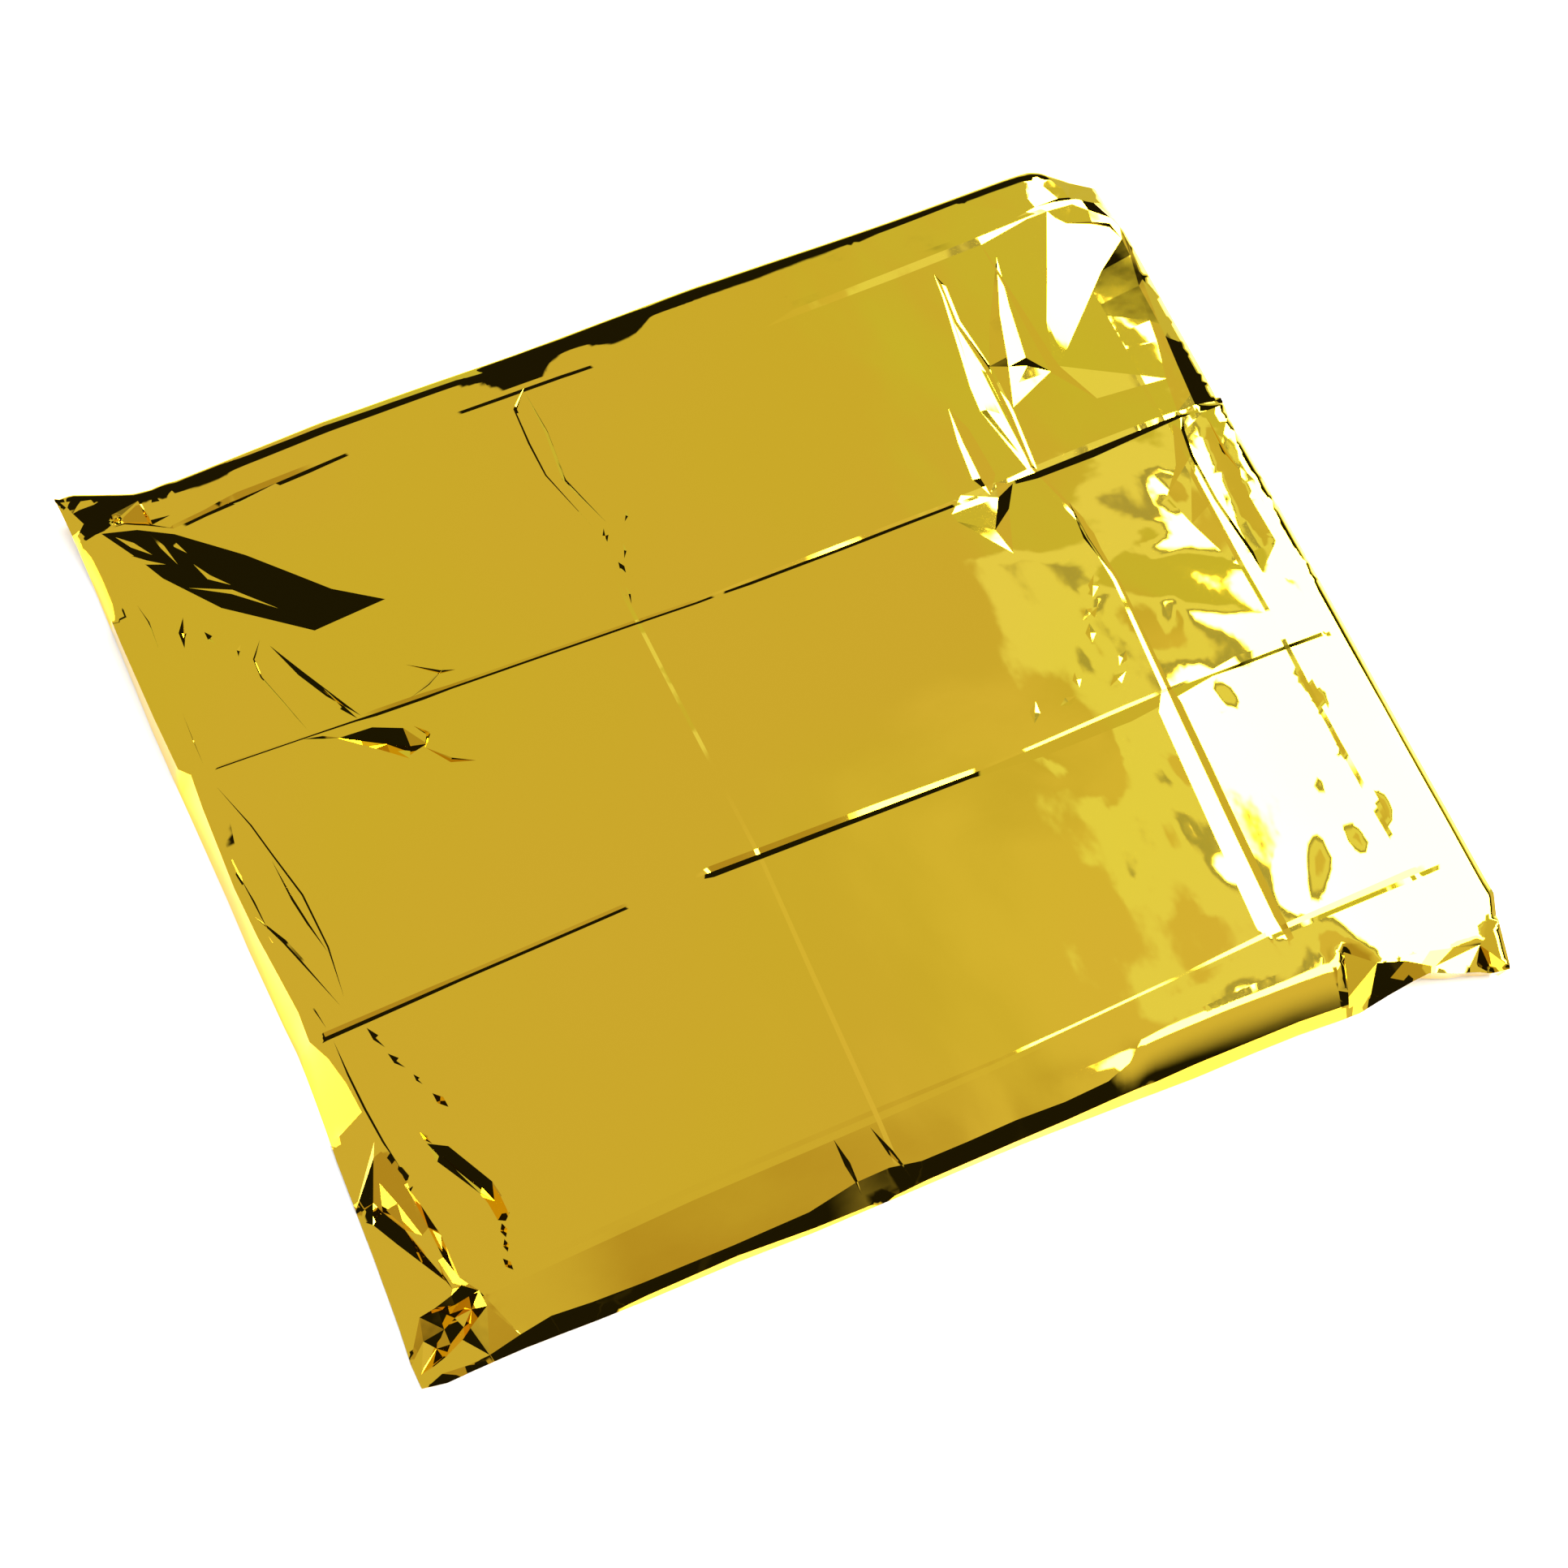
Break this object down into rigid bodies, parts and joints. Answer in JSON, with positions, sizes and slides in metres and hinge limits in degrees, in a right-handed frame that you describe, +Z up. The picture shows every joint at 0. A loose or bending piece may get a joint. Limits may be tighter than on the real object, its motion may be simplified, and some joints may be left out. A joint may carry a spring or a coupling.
{
  "type": "emergency foil blanket",
  "caption": "Partly unfolded emergency foil blanket: a flat creased packet of thin gold metallised film, with a rolled edge, turned-down sides and pinched corners.",
  "frame": {"origin": "centre of the packet's bounding box, on the surface that it lies on", "axes": "+X along the long side of the crease panels, +Y along their short side, away from the rolled edge, +Z up"},
  "size_m": [0.3352, 0.283, 0.0138],
  "materials": {
    "gold_foil": "bright gold metallised film, crumpled mirror gloss"
  },
  "bodies": {
    "root": {"foil_blanket": "gold_foil"}
  },
  "joints": []
}
